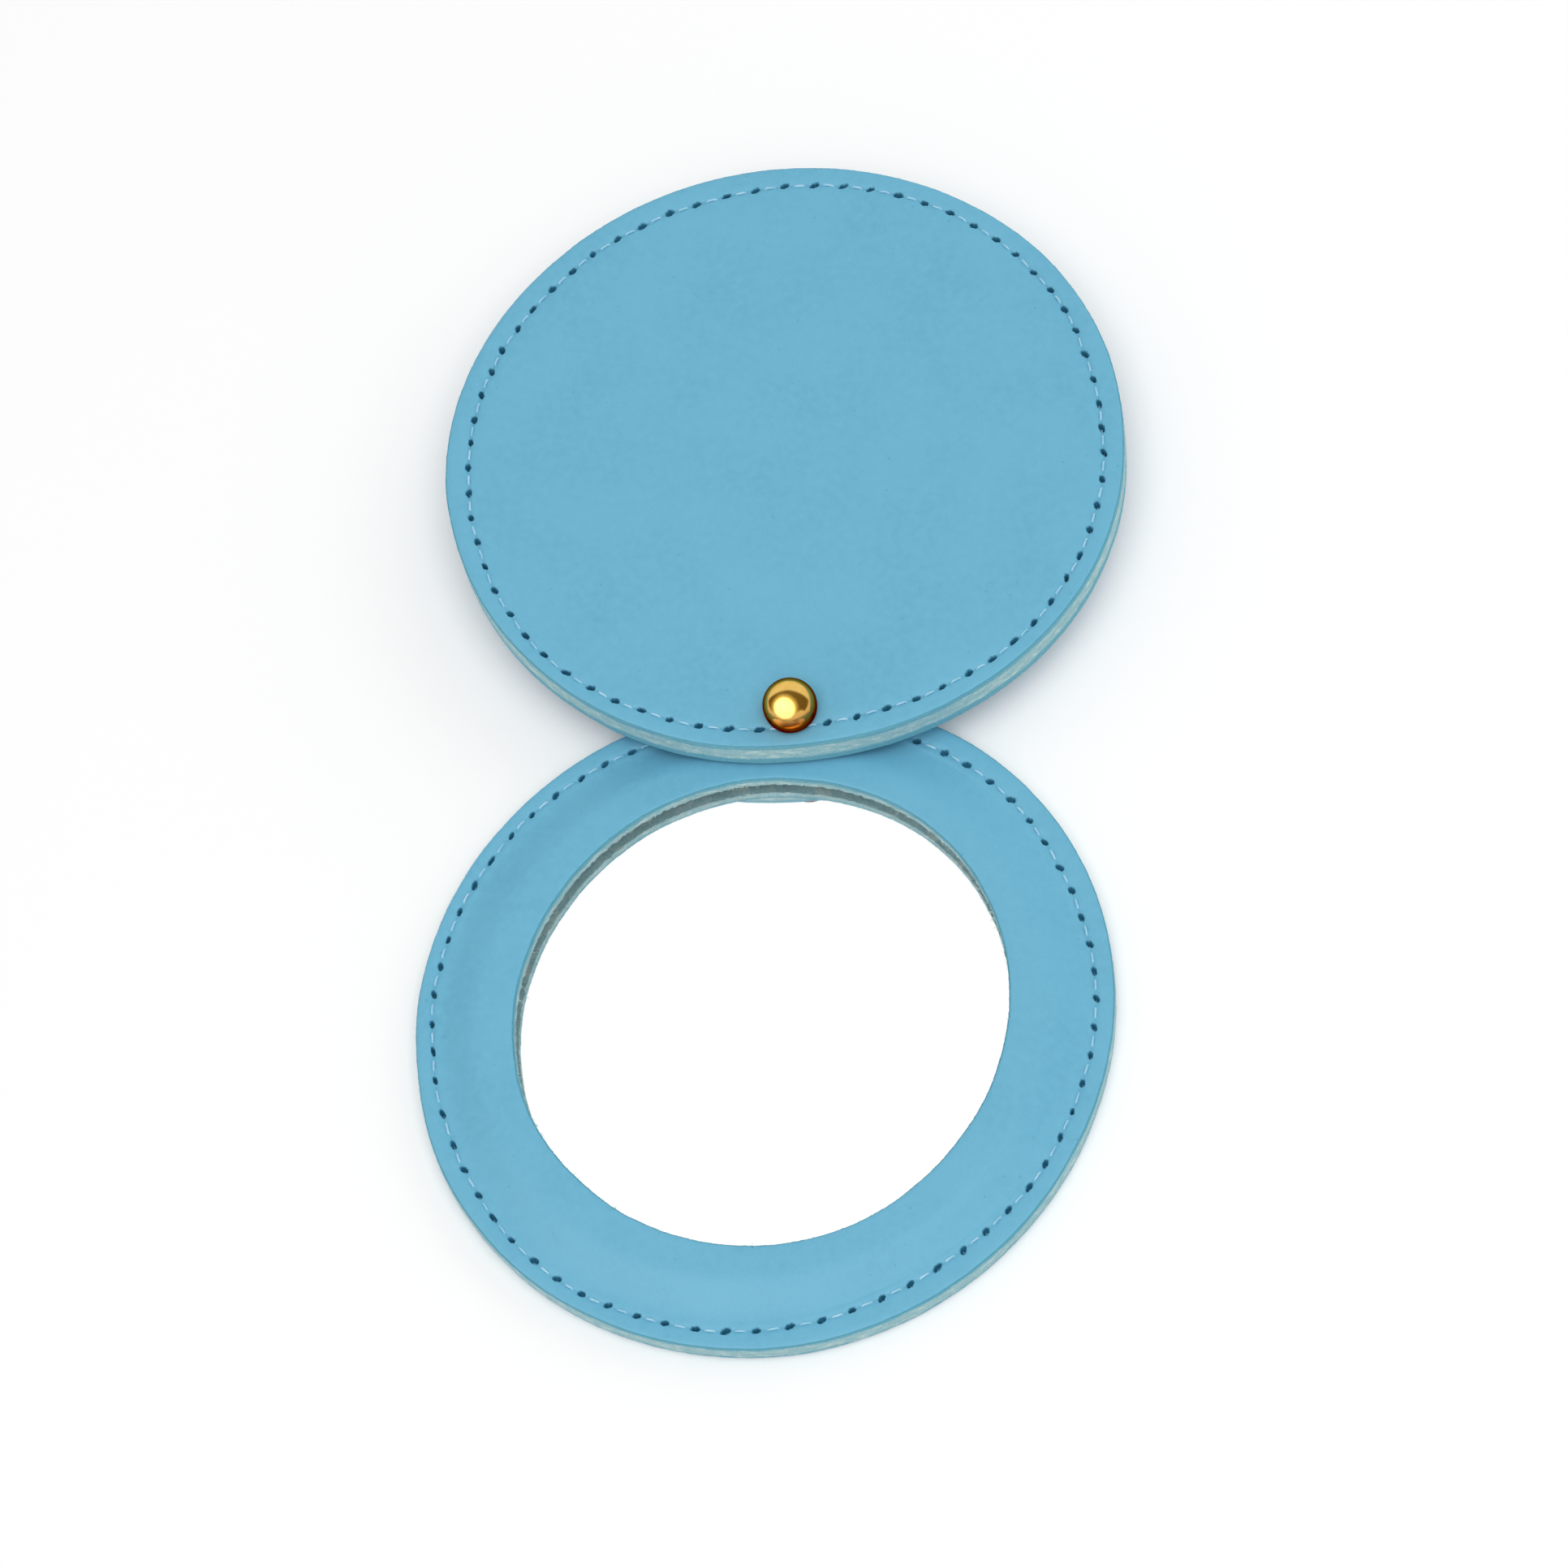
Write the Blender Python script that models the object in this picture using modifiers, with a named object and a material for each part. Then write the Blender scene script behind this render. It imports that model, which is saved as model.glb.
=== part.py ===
"""Leather pocket mirror: a stitched cover disc that swings over a stitched mirror case on one rivet.

The object lies flat on its back, +Z up. The line through the two disc centres is the Y axis, with
the case towards -Y, and the origin is half way between the centres, on the surface it lies on.
"""
import math

import bmesh
import bpy
from mathutils import Matrix, Vector

# Mirror, and the window that the leather leaves over it
GLASS_DIAMETER = 0.0560
GLASS_THICKNESS = 0.0010
GLASS_CHAMFER = 0.00015
SILVER_THICKNESS = 0.0001
SILVER_SETBACK = 0.0002         # bare glass left round the silver coat
WINDOW_LAP = 0.0029             # leather over the edge of the glass
GLASS_EDGE_ROOM = 0.0003        # flat leather past the glass before the slope starts
SLOPE_FOOT_ROOM = 0.0002        # flat leather kept inside the seam's channel

# Discs, cut to leave room for the rivet between the glass and their edge
RIVET_TO_GLASS = 0.001625       # from the rivet's tube to the glass
RIVET_INSET = 0.0040            # rivet axis in from each disc's edge
SWUNG_ASIDE = math.radians(8.5)  # how far the cover is turned from straight out
EDGE_CHAMFER = 0.00025

# Leathers, and the film of glue between layers
CASE_FRONT_THICKNESS = 0.0013
CASE_BACK_THICKNESS = 0.0010
COVER_FRONT_THICKNESS = 0.0018
COVER_BACK_THICKNESS = 0.0018
GLUE_LINE = 0.00015

# Seams
STITCH_COUNT = 68
STITCH_INSET = 0.0020           # stitch line in from the disc's edge
HOLE_LENGTH = 0.0012
HOLE_WIDTH = 0.00065
HOLE_SLANT = math.radians(-20.0)
THREAD_DIAMETER = 0.00030
THREAD_CLEARANCE = 0.00005
THREAD_SHOULDER = 0.00026       # where a run bends down, along the seam from its hole
GROOVE_WIDTH = 0.0011           # channel that the holes and threads of a seam lie in
NEEDLE_GROOVE_DEPTH = 0.0002    # how far the needle thread beds into the face leather

# Rivet
CAP_DIAMETER = 0.0055
CAP_HEIGHT = 0.00385
CAP_SIDE = 0.0011               # upright part of the cap below its dome
CAP_WALL = 0.00025
LIP_ROOM = 0.00035              # from the socket's tube to the lip curled in under its flange
SOCKET_SHARE = 0.5              # socket's tube across, as a share of the cap's width
SOCKET_WALL_SHARE = 0.3         # tube's wall, as a share of its outer radius
FLANGE_ROOM = 0.00035           # from the socket's flange to the wall of the cap over it
FLANGE_THICKNESS = 0.00025
POST_CLEARANCE = 0.0001
FOOT_TO_THREAD = 0.0001         # from the foot of the post to the thread that passes it
FOOT_THICKNESS = 0.0004
FOOT_SUNK = 0.00005             # foot above the face that the case lies on
TURNING_CLEARANCE = 0.0001      # tube in the leather bores
SWIVEL_GAP = 0.0003             # between parts that slide over each other
METAL_GAP = 0.00015             # between the rivet's own pieces

# How finely round forms are divided
DISC_SEGMENTS = STITCH_COUNT
RIVET_SEGMENTS = 28
DOME_STEPS = 5
SLOPE_STEPS = 3
CUT_OVERRUN = 0.0005
MERGE_DISTANCE = 0.00001
SHARP_ANGLE = math.radians(30)

# Worked out from the sizes above
GLASS_RADIUS = GLASS_DIAMETER / 2
WINDOW_RADIUS = GLASS_RADIUS - WINDOW_LAP
CAP_RADIUS = CAP_DIAMETER / 2
FLANGE_RADIUS = CAP_RADIUS - CAP_WALL - FLANGE_ROOM
SOCKET_RADIUS = CAP_RADIUS * SOCKET_SHARE
DISC_RADIUS = GLASS_RADIUS + RIVET_TO_GLASS + SOCKET_RADIUS + RIVET_INSET
STITCH_RADIUS = DISC_RADIUS - STITCH_INSET
RIVET_REACH = DISC_RADIUS - RIVET_INSET
THREAD_RADIUS = THREAD_DIAMETER / 2
BOBBIN_GROOVE_DEPTH = THREAD_DIAMETER + 2 * THREAD_CLEARANCE
GROOVE_INNER = STITCH_RADIUS - GROOVE_WIDTH / 2
GROOVE_OUTER = STITCH_RADIUS + GROOVE_WIDTH / 2

CASE_BACK_TOP = CASE_BACK_THICKNESS
RIM_UNDERSIDE = CASE_BACK_TOP + GLUE_LINE
RIM_TOP = RIM_UNDERSIDE + CASE_FRONT_THICKNESS
SILVER_BOTTOM = CASE_BACK_TOP + GLUE_LINE
GLASS_BOTTOM = SILVER_BOTTOM + SILVER_THICKNESS + GLUE_LINE
GLASS_TOP = GLASS_BOTTOM + GLASS_THICKNESS
RAISED_UNDERSIDE = GLASS_TOP + GLUE_LINE
RAISED_TOP = RAISED_UNDERSIDE + CASE_FRONT_THICKNESS
COVER_BOTTOM = RAISED_TOP + SWIVEL_GAP
COVER_BACK_TOP = COVER_BOTTOM + COVER_BACK_THICKNESS
COVER_FRONT_BOTTOM = COVER_BACK_TOP + GLUE_LINE
COVER_TOP = COVER_FRONT_BOTTOM + COVER_FRONT_THICKNESS

HALF_SPAN = RIVET_REACH * math.cos(SWUNG_ASIDE / 2)
RIVET_PLACE = Matrix.Translation((RIVET_REACH * math.sin(SWUNG_ASIDE / 2), 0, 0))

FOOT_TOP = FOOT_SUNK + FOOT_THICKNESS
POCKET_TOP = FOOT_TOP + METAL_GAP
LIP_BOTTOM = COVER_TOP + SWIVEL_GAP
LIP_TOP = LIP_BOTTOM + CAP_WALL
FLANGE_BOTTOM = LIP_TOP + METAL_GAP
FLANGE_TOP = FLANGE_BOTTOM + FLANGE_THICKNESS
CAP_TOP = LIP_BOTTOM + CAP_HEIGHT
SOCKET_BORE = SOCKET_RADIUS * (1 - SOCKET_WALL_SHARE)
BORE_RADIUS = SOCKET_RADIUS + TURNING_CLEARANCE
FOOT_RADIUS = RIVET_INSET - STITCH_INSET - THREAD_RADIUS - FOOT_TO_THREAD


def clear_scene():
    for item in list(bpy.data.objects):
        bpy.data.objects.remove(item, do_unlink=True)


def new_collection(name):
    group = bpy.data.collections.new(name)
    bpy.context.scene.collection.children.link(group)
    return group


def make_material(name, colour, roughness, metallic=0.0):
    material = bpy.data.materials.new(name)
    material.use_nodes = True
    shader = material.node_tree.nodes["Principled BSDF"]
    shader.inputs["Base Color"].default_value = (*colour, 1.0)
    shader.inputs["Roughness"].default_value = roughness
    shader.inputs["Metallic"].default_value = metallic
    material.diffuse_color = (*colour, 1.0)
    return material


def disc_place(centre_y):
    """Frame of a disc: its origin is the disc's centre, and its X axis points at the rivet."""
    centre = Vector((0, centre_y, 0))
    toward_rivet = RIVET_PLACE.translation - centre
    bearing = math.atan2(toward_rivet.y, toward_rivet.x)
    return Matrix.Translation(centre) @ Matrix.Rotation(bearing, 4, "Z")


def add_object(name, data, group, place, material=None):
    item = bpy.data.objects.new(name, data)
    item.matrix_world = place
    group.objects.link(item)
    if material:
        data.materials.append(material)
    return item


def turned(name, outline, segments, place, group, material, ring=False):
    """Turn an outline of (radius, height) points about the Z axis of a place."""
    data = bpy.data.meshes.new(name)
    points = [(radius, 0, height) for radius, height in outline]
    edges = [(i, i + 1) for i in range(len(points) - 1)]
    if ring:
        edges.append((len(points) - 1, 0))
    data.from_pydata(points, edges, [])
    item = add_object(name, data, group, place, material)
    screw = item.modifiers.new("Turn", "SCREW")
    screw.axis = "Z"
    screw.steps = segments
    screw.render_steps = segments
    screw.use_merge_vertices = True
    screw.merge_threshold = MERGE_DISTANCE
    solid = item.evaluated_get(bpy.context.evaluated_depsgraph_get())
    item.data = bpy.data.meshes.new_from_object(solid)
    item.modifiers.clear()
    item.data.shade_smooth()
    item.data.set_sharp_from_angle(angle=SHARP_ANGLE)
    return item


def cut(item, cutter):
    boolean = item.modifiers.new("Cut", "BOOLEAN")
    boolean.operation = "DIFFERENCE"
    boolean.solver = "EXACT"
    boolean.object = cutter


def as_cutter(item):
    item.hide_render = True
    item.display_type = "WIRE"
    return item


def round_cutter(name, radius, bottom, top, place, group):
    mesh = bmesh.new()
    bmesh.ops.create_cone(
        mesh, cap_ends=True, segments=RIVET_SEGMENTS,
        radius1=radius, radius2=radius, depth=top - bottom,
        matrix=Matrix.Translation((0, 0, (top + bottom) / 2)))
    data = bpy.data.meshes.new(name)
    mesh.to_mesh(data)
    mesh.free()
    return as_cutter(add_object(name, data, group, place))


def stitch_angle(index):
    """Angle of one stitch hole from the bearing of the rivet, which lies midway between two."""
    return (index + 0.5) * math.tau / STITCH_COUNT


def stitch_cutter(name, bottom, top, place, group):
    """One slanted slot for each needle hole, through both leathers of a disc."""
    mesh = bmesh.new()
    size = Matrix.Diagonal((HOLE_WIDTH, HOLE_LENGTH, top - bottom, 1))
    for index in range(STITCH_COUNT):
        turn = Matrix.Rotation(stitch_angle(index), 4, "Z")
        move = Matrix.Translation((STITCH_RADIUS, 0, (top + bottom) / 2))
        slant = Matrix.Rotation(HOLE_SLANT, 4, "Z")
        bmesh.ops.create_cube(mesh, size=1, matrix=turn @ move @ slant @ size)
    data = bpy.data.meshes.new(name)
    mesh.to_mesh(data)
    mesh.free()
    return as_cutter(add_object(name, data, group, place))


def thread(name, run_height, dip_height, place, group, material):
    """One unbroken thread: straight runs along the seam, with a dip into each hole."""
    shoulder = THREAD_SHOULDER / STITCH_RADIUS
    data = bpy.data.curves.new(name, "CURVE")
    data.dimensions = "3D"
    data.bevel_depth = THREAD_RADIUS
    data.bevel_resolution = 0
    spline = data.splines.new("POLY")
    spline.points.add(3 * STITCH_COUNT - 1)
    spline.use_cyclic_u = True
    for index in range(STITCH_COUNT):
        middle = stitch_angle(index)
        places = ((middle - shoulder, run_height), (middle, dip_height), (middle + shoulder, run_height))
        for step, (angle, height) in enumerate(places):
            point = (STITCH_RADIUS * math.cos(angle), STITCH_RADIUS * math.sin(angle), height, 1)
            spline.points[3 * index + step].co = point
    return add_object(name, data, group, place, material)


def seam(kind, top, joint, bottom, place, group, material):
    """The lockstitch of one disc: the needle thread above and the bobbin thread below."""
    apart = THREAD_RADIUS + THREAD_CLEARANCE
    run_above = top - NEEDLE_GROOVE_DEPTH + apart
    run_below = bottom + apart
    thread(kind + "_needle_thread", run_above, joint + apart, place, group, material)
    thread(kind + "_bobbin_thread", run_below, joint - apart, place, group, material)


def groove(face, floor):
    """Outline of the groove that a thread lies in, from its inner to its outer edge."""
    return [(GROOVE_INNER, face), (GROOVE_INNER, floor), (GROOVE_OUTER, floor), (GROOVE_OUTER, face)]


def face_leather(name, bottom, top, place, group, material):
    """A disc with its upper edge eased and a shallow groove for the needle thread."""
    outline = [
        (0, top),
        *groove(top, top - NEEDLE_GROOVE_DEPTH),
        (DISC_RADIUS - EDGE_CHAMFER, top),
        (DISC_RADIUS, top - EDGE_CHAMFER),
        (DISC_RADIUS, bottom),
        (0, bottom),
    ]
    return turned(name, outline, DISC_SEGMENTS, place, group, material)


def backing_leather(name, bottom, top, place, group, material):
    """A disc with its lower edge eased and a groove underneath that sinks the bobbin thread."""
    outline = [
        (0, top),
        (DISC_RADIUS, top),
        (DISC_RADIUS, bottom + EDGE_CHAMFER),
        (DISC_RADIUS - EDGE_CHAMFER, bottom),
        *reversed(groove(bottom, bottom + BOBBIN_GROOVE_DEPTH)),
        (0, bottom),
    ]
    return turned(name, outline, DISC_SEGMENTS, place, group, material)


def window_leather(name, place, group, material):
    """The case's front: flat over the glass, sloping down to a flat sewn rim."""
    slope_top = GLASS_RADIUS + GLASS_EDGE_ROOM
    slope_foot = GROOVE_INNER - SLOPE_FOOT_ROOM
    slope = []
    for step in range(SLOPE_STEPS + 1):
        share = step / SLOPE_STEPS
        fall = share * share * (3 - 2 * share)
        slope.append((slope_top + share * (slope_foot - slope_top), fall))
    drop = RAISED_TOP - RIM_TOP
    outline = [(WINDOW_RADIUS, RAISED_TOP - EDGE_CHAMFER), (WINDOW_RADIUS + EDGE_CHAMFER, RAISED_TOP)]
    outline += [(radius, RAISED_TOP - fall * drop) for radius, fall in slope]
    outline += groove(RIM_TOP, RIM_TOP - NEEDLE_GROOVE_DEPTH)
    outline += [
        (DISC_RADIUS - EDGE_CHAMFER, RIM_TOP),
        (DISC_RADIUS, RIM_TOP - EDGE_CHAMFER),
        (DISC_RADIUS, RIM_UNDERSIDE),
    ]
    outline += [(radius, RAISED_UNDERSIDE - fall * drop) for radius, fall in reversed(slope)]
    outline.append((WINDOW_RADIUS, RAISED_UNDERSIDE))
    return turned(name, outline, DISC_SEGMENTS, place, group, material, ring=True)


def build_cover(group, cutters, leather, thread_material):
    place = disc_place(HALF_SPAN)
    front = face_leather("cover_front_leather", COVER_FRONT_BOTTOM, COVER_TOP, place, group, leather)
    back = backing_leather("cover_back_leather", COVER_BOTTOM, COVER_BACK_TOP, place, group, leather)
    low = COVER_BOTTOM - CUT_OVERRUN
    high = COVER_TOP + CUT_OVERRUN
    holes = stitch_cutter("cover_stitch_cutter", low, high, place, cutters)
    bore = round_cutter("cover_bore_cutter", BORE_RADIUS, low, high, RIVET_PLACE, cutters)
    for leather_disc in (front, back):
        cut(leather_disc, holes)
        cut(leather_disc, bore)
    seam("cover", COVER_TOP, COVER_BACK_TOP + GLUE_LINE / 2, COVER_BOTTOM, place, group, thread_material)


def build_case(group, cutters, leather, thread_material):
    place = disc_place(-HALF_SPAN)
    front = window_leather("case_front_leather", place, group, leather)
    back = backing_leather("case_back_leather", 0, CASE_BACK_TOP, place, group, leather)
    low = -CUT_OVERRUN
    high = RAISED_TOP + CUT_OVERRUN
    holes = stitch_cutter("case_stitch_cutter", low, high, place, cutters)
    bore = round_cutter("case_bore_cutter", BORE_RADIUS, low, high, RIVET_PLACE, cutters)
    pocket_radius = FOOT_RADIUS + METAL_GAP
    pocket = round_cutter("foot_pocket_cutter", pocket_radius, low, POCKET_TOP, RIVET_PLACE, cutters)
    for leather_disc in (front, back):
        cut(leather_disc, holes)
        cut(leather_disc, bore)
    cut(back, pocket)
    seam("case", RIM_TOP, CASE_BACK_TOP + GLUE_LINE / 2, 0, place, group, thread_material)


def build_mirror(group, glass_material, silver_material):
    place = disc_place(-HALF_SPAN)
    glass = [
        (0, GLASS_TOP),
        (GLASS_RADIUS - GLASS_CHAMFER, GLASS_TOP),
        (GLASS_RADIUS, GLASS_TOP - GLASS_CHAMFER),
        (GLASS_RADIUS, GLASS_BOTTOM + GLASS_CHAMFER),
        (GLASS_RADIUS - GLASS_CHAMFER, GLASS_BOTTOM),
        (0, GLASS_BOTTOM),
    ]
    turned("mirror_glass", glass, DISC_SEGMENTS, place, group, glass_material)
    coat = GLASS_RADIUS - SILVER_SETBACK
    silver_top = SILVER_BOTTOM + SILVER_THICKNESS
    silver = [(0, silver_top), (coat, silver_top), (coat, SILVER_BOTTOM), (0, SILVER_BOTTOM)]
    turned("mirror_silver_backing", silver, DISC_SEGMENTS, place, group, silver_material)


def dome(radius, base, crown):
    """Quarter ellipse from the crown on the axis down to the full radius at the base."""
    points = [(0, crown)]
    for step in range(1, DOME_STEPS + 1):
        angle = step * math.pi / 2 / DOME_STEPS
        points.append((radius * math.sin(angle), base + (crown - base) * math.cos(angle)))
    return points


def build_rivet(group, brass, steel):
    base = LIP_BOTTOM + CAP_SIDE
    inner_radius = CAP_RADIUS - CAP_WALL
    lip_edge = SOCKET_RADIUS + LIP_ROOM
    outline = dome(CAP_RADIUS, base, CAP_TOP)
    outline += [(CAP_RADIUS, LIP_BOTTOM), (lip_edge, LIP_BOTTOM)]
    outline += [(lip_edge, LIP_TOP), (inner_radius, LIP_TOP)]
    outline += reversed(dome(inner_radius, base, CAP_TOP - CAP_WALL))
    turned("rivet_cap", outline, RIVET_SEGMENTS, RIVET_PLACE, group, brass)

    tube_end = FOOT_TOP + SWIVEL_GAP
    outline = [
        (SOCKET_BORE, FLANGE_TOP),
        (FLANGE_RADIUS, FLANGE_TOP),
        (FLANGE_RADIUS, FLANGE_BOTTOM),
        (SOCKET_RADIUS, FLANGE_BOTTOM),
        (SOCKET_RADIUS, tube_end),
        (SOCKET_BORE, tube_end),
    ]
    turned("rivet_socket", outline, RIVET_SEGMENTS, RIVET_PLACE, group, steel, ring=True)

    pin = SOCKET_BORE - POST_CLEARANCE
    outline = [(0, FLANGE_TOP), (pin, FLANGE_TOP), (pin, FOOT_TOP), (FOOT_RADIUS, FOOT_TOP)]
    outline += [(FOOT_RADIUS, FOOT_SUNK), (0, FOOT_SUNK)]
    turned("rivet_post", outline, RIVET_SEGMENTS, RIVET_PLACE, group, brass)


def main():
    clear_scene()
    group = new_collection("pocket_mirror")
    cutters = new_collection("cutters")
    leather = make_material("dyed_calf_leather", (0.152, 0.451, 0.631), 0.55)
    polyester = make_material("polyester_thread", (0.26, 0.60, 0.80), 0.45)
    glass = make_material("float_glass", (0.80, 0.90, 0.88), 0.02)
    silver = make_material("silvered_coat", (0.90, 0.91, 0.92), 0.05, 1.0)
    brass = make_material("polished_brass", (0.78, 0.55, 0.23), 0.15, 1.0)
    steel = make_material("plated_steel", (0.62, 0.60, 0.56), 0.3, 1.0)
    build_cover(group, cutters, leather, polyester)
    build_case(group, cutters, leather, polyester)
    build_mirror(group, glass, silver)
    build_rivet(group, brass, steel)


main()
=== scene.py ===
"""Leather pocket mirror, dressed.

Two discs of dyed calf leather are sewn round their edges. The lower one holds a mirror behind a round
window, and the upper one swings over it on a brass rivet.

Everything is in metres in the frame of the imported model, which is read first and never changed.
"""

import math

import bpy
import numpy as np
from mathutils import Euler, Matrix, Vector


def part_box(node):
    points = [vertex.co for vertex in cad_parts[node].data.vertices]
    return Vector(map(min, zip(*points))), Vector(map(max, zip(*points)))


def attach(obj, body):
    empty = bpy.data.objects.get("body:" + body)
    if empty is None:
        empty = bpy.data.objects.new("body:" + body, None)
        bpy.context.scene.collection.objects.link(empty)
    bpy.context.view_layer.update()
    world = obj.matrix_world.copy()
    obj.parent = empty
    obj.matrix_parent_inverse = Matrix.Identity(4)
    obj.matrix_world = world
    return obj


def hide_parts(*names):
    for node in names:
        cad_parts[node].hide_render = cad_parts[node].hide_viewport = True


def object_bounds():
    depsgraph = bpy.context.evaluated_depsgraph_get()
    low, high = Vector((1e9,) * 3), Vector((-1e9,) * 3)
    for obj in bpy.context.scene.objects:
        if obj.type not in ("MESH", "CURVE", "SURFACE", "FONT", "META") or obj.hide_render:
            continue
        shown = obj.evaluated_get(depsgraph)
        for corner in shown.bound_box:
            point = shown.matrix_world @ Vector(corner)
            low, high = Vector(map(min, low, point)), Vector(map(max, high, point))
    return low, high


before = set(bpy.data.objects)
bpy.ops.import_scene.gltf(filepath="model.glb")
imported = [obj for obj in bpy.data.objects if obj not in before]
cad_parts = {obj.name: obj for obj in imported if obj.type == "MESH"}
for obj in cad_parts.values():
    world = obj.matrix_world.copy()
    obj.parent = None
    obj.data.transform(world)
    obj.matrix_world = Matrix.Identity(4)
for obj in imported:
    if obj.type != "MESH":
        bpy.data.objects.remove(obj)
CAD_LOW, CAD_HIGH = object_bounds()

MM = 0.001

# Discs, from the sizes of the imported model
DISC_RADIUS = 35.0 * MM
STITCH_INSET = 2.0 * MM
STITCH_RADIUS = DISC_RADIUS - STITCH_INSET
STITCH_COUNT = 68
STITCH_TURN = math.tau / STITCH_COUNT
RIM_TOP = 2.45 * MM             # face of the case's front leather at its sewn rim
RAISED_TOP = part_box("case_front_leather")[1].z  # the same face where it lies over the glass
SLOPE_TOP = 28.3 * MM           # radius where the leather leaves the glass
SLOPE_FOOT = 32.3 * MM          # radius where it is down on the rim
SLOPE_EASING = 0.3 * MM         # it starts to bend this far inside the slope's top
TRUE_RADIUS = 28 * MM           # here a disc is a true circle; its seam, edge and window wander
WINDOW_RADIUS = 25.1 * MM
GLUE_HAIRLINE = 0.02 * MM       # what is left to see of the glue between two leathers
BORE_RADIUS = 1.475 * MM
POCKET_RADIUS = 1.9 * MM        # room for the flat foot of the rivet's post
POCKET_TOP = 0.6 * MM
THROUGH = 1 * MM                # how far a cutter stands out of what it cuts

# Rivet cap, stamped from sheet
CAP_SHEET = 0.25 * MM
CAP_GAP = 0.03 * MM             # between its skirt and the cover
CAP_DRAWN_IN = 0.36 * MM        # how far the skirt is drawn in under the dome
CAP_LIP = BORE_RADIUS + 0.3 * MM
PAINTED_DARK_FOOT = 1.3 * MM           # painted dark reflection: the cap is brown up to this far above the cover
PAINTED_DARK_FADE = 2.5 * MM             # and it is all yellow this much higher

# Leather edges
EDGE_ROUNDING = 0.32 * MM
ARRIS = 0.08 * MM               # hardly eased edge of a side that is glued
RIM_WIDTH = 0.5 * MM            # unevenness of a cut edge reaches this far into the leather
RIM_WAVER = 0.025 * MM          # slow waver, from the knife
FIBRE_WAVER = 0.022 * MM        # quick waver, from the fibres
FIBRE_LAYER = 0.05 * MM         # fibres this far above each other waver in their own ways
WINDOW_WAVER = 0.06 * MM        # the same slow waver at the window
WINDOW_FIBRE_WAVER = 0.03 * MM
FRAY_OUT = 0.05 * MM            # the window's lower edge is frayed by the cutting die
FRAY_DOWN = 0.07 * MM

# Faces are never quite flat
FACE_SWELL = 0.035 * MM
RING_SWELL = 0.05 * MM          # the leather over the glass
RING_SWELL_START = 26 * MM      # from this radius
RING_SWELL_RUN = 3 * MM         # and full this much further out
FACE_REACH = 0.8 * MM           # what moves a face is felt this far below it

# Stitch holes, thread and the way the leather gives round them
HOLE_HALF_LENGTH = 0.52 * MM
HOLE_HALF_WIDTH = 0.26 * MM
HOLE_SHARE = 0.66               # depth of a hole, as a share of the leather's thickness
HOLE_FLOOR = 0.5                # where its wall starts and how wide that is, as shares of its size
HOLE_WALL = 0.55
HOLE_SLANT = -18                # degrees from the run of the seam
SLANT_SPREAD = 8
LENGTH_SPREAD = 0.10            # shares by which holes differ in length and width
WIDTH_SPREAD = 0.12
ALONG_SPREAD = 0.07 * MM        # how far holes lie off their places, along and across the seam
ACROSS_SPREAD = 0.05 * MM
HOLE_SHADE_FROM = 0.17 * MM        # painted shade on the wall of a hole starts this far below the plain face
HOLE_SHADE_FULL = 0.42 * MM          # and is as dark as it gets by here
DEPTH_MARK = "depth_below_face"
DIMPLE_DEPTH = 0.11 * MM
DIMPLE_RADIUS = 0.8 * MM
DIMPLE_SQUASH = 1.3             # a dimple is this many times longer than wide
CHANNEL_DEPTH = 0.13 * MM       # pressed by the thread between its holes
CHANNEL_HALF_WIDTH = 0.24 * MM
CHANNEL_START = 0.3 * MM        # from the middle of a hole
CHANNEL_RUN = 0.4 * MM
SEAM_SINK = 0.05 * MM
SEAM_SINK_HALF_WIDTH = 0.9 * MM
SEAM_SINK_START = 31.3 * MM     # radius inside which the window leather gives no more
THREAD_RADIUS = 0.13 * MM
THREAD_BED = 0.04 * MM          # its middle lies this far below the sunk face
BOBBIN_BED = 0.16 * MM          # the lower thread is pulled this much further into the back
THREAD_SWAY = 0.05 * MM
THREAD_ARCH = 0.03 * MM
THREAD_LEAN = 0.09              # slope of a run where it leaves a hole
LEAN_LENGTH = 0.45 * MM
LEAN_END = 0.5 * MM             # it straightens from here
LEAN_FADE = 0.9 * MM            # over this length
THREAD_DIP = 1.1 * MM
THREAD_BEND = 0.40 * MM         # from the middle of a hole to where the thread starts to rise
THREAD_RISE = 0.85 * MM         # and the length that it takes to be up on the face
THREAD_SQUEEZE = 0.22           # share by which a hole squeezes it
THREAD_PLIES = 3
PLY_GROOVE = 0.84               # radius between two plies, as a share of the thread's
PLY_RISE = 0.2                  # and what a ply adds to that
THREAD_LAY = 0.95 * MM          # length of one turn of a ply
THREAD_SIDES = 9
POINTS_A_STITCH = 30

# How many waves uneven things have round a disc: fewest, most, and how much the short ones fade
SWELL_WAVES = (2, 9)
RING_SWELL_WAVES = (2, 11)
RIM_WAVES = (8, 60)
FIBRE_WAVES = (60, 500, 0.15)
WINDOW_WAVES = (3, 40)
WINDOW_FIBRE_WAVES = (60, 520, 0.1)
FRAY_OUT_WAVES = (90, 260, 0.2)
FRAY_DOWN_WAVES = (90, 300, 0.2)
SWAY_WAVES = (20, 150)
ARCH_WAVES = (40, 200)

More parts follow.
